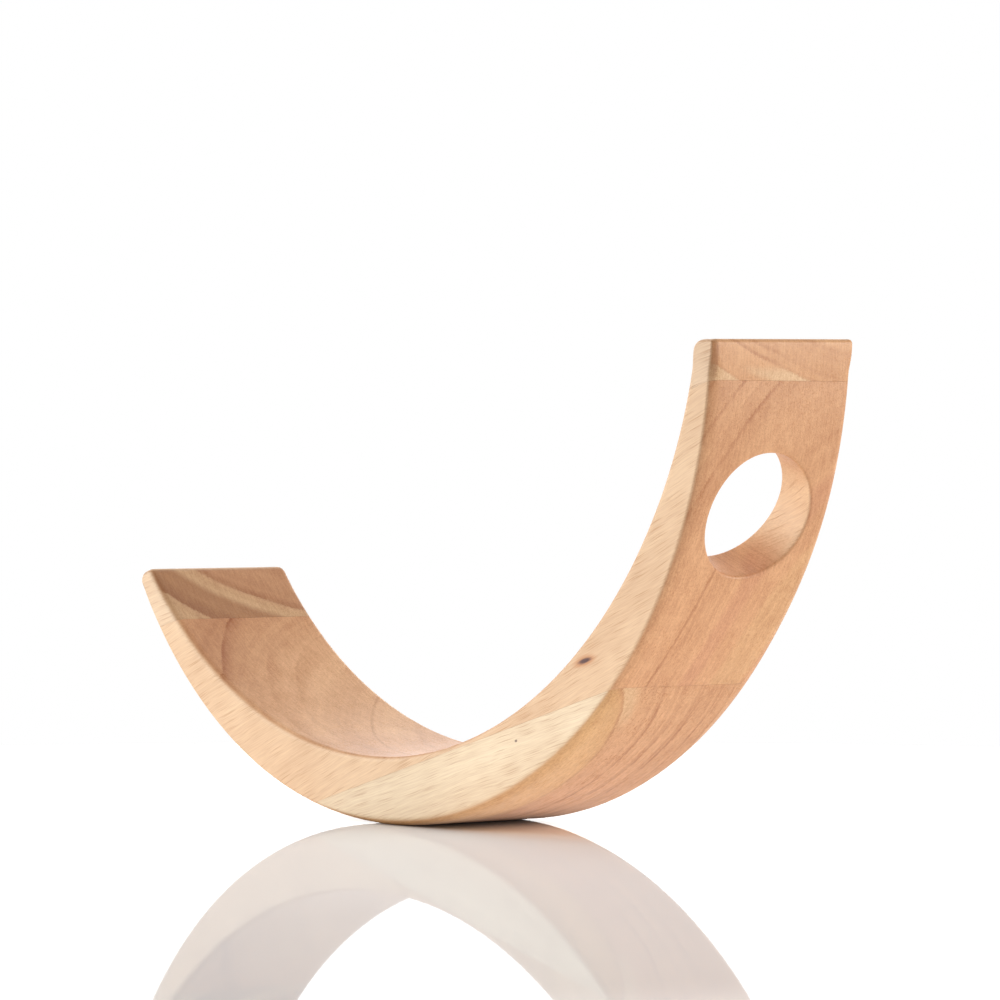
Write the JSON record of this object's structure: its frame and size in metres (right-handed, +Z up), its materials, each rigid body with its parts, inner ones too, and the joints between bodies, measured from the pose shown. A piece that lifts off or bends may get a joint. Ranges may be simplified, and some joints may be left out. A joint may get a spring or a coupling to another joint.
{
  "type": "balancing wine bottle holder",
  "caption": "Curved wooden bottle holder: a glued-board crescent that stands on its round base, with a hole in the higher arm for a bottle's neck so that holder and bottle balance.",
  "frame": {"origin": "middle of the line where the curved base touches the table, in the balanced pose", "axes": "+Z up, +X towards the higher arm with the neck hole, +Y across the width"},
  "size_m": [0.2588, 0.0506, 0.1353],
  "materials": {
    "base_wood": "pale cream rubberwood, sanded and clear-oiled, satin",
    "arm_wood": "peach-tan rubberwood with open pores, sanded and clear-oiled, satin",
    "left_strip_wood": "tan rubberwood with a pale sapwood band, sanded and clear-oiled, satin",
    "right_strip_wood": "tan rubberwood with a pale sapwood wedge, sanded and clear-oiled, satin"
  },
  "bodies": {
    "root": {"base_board": "base_wood", "arm_board": "arm_wood", "left_tip_strip": "left_strip_wood", "right_tip_strip": "right_strip_wood"}
  },
  "joints": []
}
